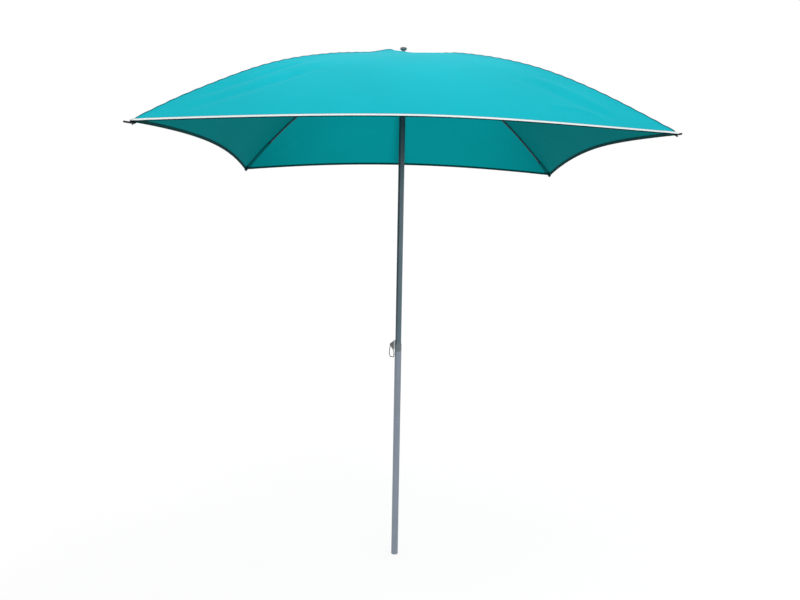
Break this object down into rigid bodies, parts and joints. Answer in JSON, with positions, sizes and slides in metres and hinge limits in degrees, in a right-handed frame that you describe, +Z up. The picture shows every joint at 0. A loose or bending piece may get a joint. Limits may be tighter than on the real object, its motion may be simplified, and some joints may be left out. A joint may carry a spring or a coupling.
{
  "type": "beach umbrella",
  "caption": "Square beach umbrella: a gently domed cloth canopy with bound edges on folding diagonal ribs, a sliding runner and a telescopic pole locked by a pull pin.",
  "frame": {"origin": "centre of the pole foot, on the plane it stands on", "axes": "+Z up along the pole; -Y the front side of the canopy, +X its right side; the ribs run along the diagonals"},
  "size_m": [1.8256, 1.8256, 2.3898],
  "materials": {
    "lower_tube": "brushed anodised tube",
    "upper_tube": "satin anodised tube",
    "grey_plastic": "moulded plastic",
    "black_plastic": "moulded plastic",
    "finial_plastic": "moulded plastic",
    "pin_plastic": "moulded plastic",
    "saddle_plastic": "moulded plastic",
    "ring_wire": "blackened spring wire",
    "rib_metal": "black paint",
    "steel": "zinc plate",
    "canopy_cloth": "tight plain-weave polyester",
    "binding_tape": "woven edging tape"
  },
  "bodies": {
    "lower_pole": {"lower_tube": "lower_tube", "foot_plug": "black_plastic", "lower_collar": "grey_plastic"},
    "upper_pole": {"upper_tube": "upper_tube", "guide_bush": "grey_plastic", "top_hub": "black_plastic", "hub_pins": "steel", "top_stud": "steel", "crown_patch": "canopy_cloth", "crown_washer": "finial_plastic", "finial": "finial_plastic"},
    "runner": {"runner_crown": "black_plastic", "runner_grip": "black_plastic"},
    "runner_catch": {"runner_catch": "steel"},
    "lock_pin": {"pin_head": "pin_plastic", "pin_saddle": "saddle_plastic", "pin_shaft": "steel", "pin_rivet": "steel"},
    "pin_ring": {"pin_ring": "ring_wire"},
    "rib_br": {"rib_rod_br": "rib_metal", "rib_ferrule_br": "steel", "rib_bracket_br": "steel", "rib_rivet_br": "steel", "rib_cap_br": "black_plastic", "corner_pocket_br": "canopy_cloth", "canopy_back_br": "canopy_cloth", "canopy_right_br": "canopy_cloth", "binding_br": "binding_tape"},
    "arm_br": {"stretcher_br": "rib_metal"},
    "rib_bl": {"rib_rod_bl": "rib_metal", "rib_ferrule_bl": "steel", "rib_bracket_bl": "steel", "rib_rivet_bl": "steel", "rib_cap_bl": "black_plastic", "corner_pocket_bl": "canopy_cloth", "canopy_left_bl": "canopy_cloth", "canopy_back_bl": "canopy_cloth", "binding_bl": "binding_tape"},
    "arm_bl": {"stretcher_bl": "rib_metal"},
    "rib_fl": {"rib_rod_fl": "rib_metal", "rib_ferrule_fl": "steel", "rib_bracket_fl": "steel", "rib_rivet_fl": "steel", "rib_cap_fl": "black_plastic", "corner_pocket_fl": "canopy_cloth", "canopy_front_fl": "canopy_cloth", "canopy_left_fl": "canopy_cloth", "binding_fl": "binding_tape"},
    "arm_fl": {"stretcher_fl": "rib_metal"},
    "rib_fr": {"rib_rod_fr": "rib_metal", "rib_ferrule_fr": "steel", "rib_bracket_fr": "steel", "rib_rivet_fr": "steel", "rib_cap_fr": "black_plastic", "corner_pocket_fr": "canopy_cloth", "canopy_right_fr": "canopy_cloth", "canopy_front_fr": "canopy_cloth", "binding_fr": "binding_tape"},
    "arm_fr": {"stretcher_fr": "rib_metal"}
  },
  "joints": [
    {"name": "telescope", "type": "slide", "parent": "lower_pole", "child": "upper_pole", "axis": [0, 0, 1], "range_m": [0, 0.1]},
    {"name": "lock_pin_pull", "type": "slide", "parent": "upper_pole", "child": "lock_pin", "axis": [-1, 0, 0], "range_m": [0, 0.06]},
    {"name": "pin_ring_swing", "type": "hinge", "parent": "lock_pin", "child": "pin_ring", "pos_m": [-0.0336, 0, 1.0226], "axis": [0, 1, 0], "range_deg": [0, 40]},
    {"name": "runner_slide", "type": "slide", "parent": "upper_pole", "child": "runner", "axis": [0, 0, -1], "range_m": [0, 0.76831]},
    {"name": "catch_press", "type": "slide", "parent": "upper_pole", "child": "runner_catch", "axis": [0, 1, 0], "range_m": [0, 0.003]},
    {"name": "rib_fold_br", "type": "hinge", "parent": "upper_pole", "child": "rib_br", "pos_m": [0.01556, 0.01556, 2.336], "axis": [-0.7071, 0.7071, 0], "range_deg": [0, 70.7], "deforming": ["canopy_back_br", "canopy_right_br", "binding_br"]},
    {"name": "arm_fold_br", "type": "hinge", "parent": "rib_br", "child": "arm_br", "pos_m": [0.35992, 0.35992, 2.24133], "axis": [0.7071, -0.7071, 0], "range_deg": [0, 138.79]},
    {"name": "rib_fold_bl", "type": "hinge", "parent": "upper_pole", "child": "rib_bl", "pos_m": [-0.01556, 0.01556, 2.336], "axis": [-0.7071, -0.7071, 0], "range_deg": [0, 70.7], "deforming": ["canopy_left_bl", "canopy_back_bl", "binding_bl"]},
    {"name": "arm_fold_bl", "type": "hinge", "parent": "rib_bl", "child": "arm_bl", "pos_m": [-0.35992, 0.35992, 2.24133], "axis": [0.7071, 0.7071, 0], "range_deg": [0, 138.79]},
    {"name": "rib_fold_fl", "type": "hinge", "parent": "upper_pole", "child": "rib_fl", "pos_m": [-0.01556, -0.01556, 2.336], "axis": [0.7071, -0.7071, 0], "range_deg": [0, 70.7], "deforming": ["canopy_front_fl", "canopy_left_fl", "binding_fl"]},
    {"name": "arm_fold_fl", "type": "hinge", "parent": "rib_fl", "child": "arm_fl", "pos_m": [-0.35992, -0.35992, 2.24133], "axis": [-0.7071, 0.7071, 0], "range_deg": [0, 138.79]},
    {"name": "rib_fold_fr", "type": "hinge", "parent": "upper_pole", "child": "rib_fr", "pos_m": [0.01556, -0.01556, 2.336], "axis": [0.7071, 0.7071, 0], "range_deg": [0, 70.7], "deforming": ["canopy_right_fr", "canopy_front_fr", "binding_fr"]},
    {"name": "arm_fold_fr", "type": "hinge", "parent": "rib_fr", "child": "arm_fr", "pos_m": [0.35992, -0.35992, 2.24133], "axis": [-0.7071, -0.7071, 0], "range_deg": [0, 138.79]}
  ],
  "couplings": [
    {"joint": "rib_fold_br", "follows": "runner_slide", "rad_per_m": 1.6059},
    {"joint": "arm_fold_br", "follows": "runner_slide", "rad_per_m": 3.1525},
    {"joint": "rib_fold_bl", "follows": "runner_slide", "rad_per_m": 1.6059},
    {"joint": "arm_fold_bl", "follows": "runner_slide", "rad_per_m": 3.1525},
    {"joint": "rib_fold_fl", "follows": "runner_slide", "rad_per_m": 1.6059},
    {"joint": "arm_fold_fl", "follows": "runner_slide", "rad_per_m": 3.1525},
    {"joint": "rib_fold_fr", "follows": "runner_slide", "rad_per_m": 1.6059},
    {"joint": "arm_fold_fr", "follows": "runner_slide", "rad_per_m": 3.1525}
  ]
}
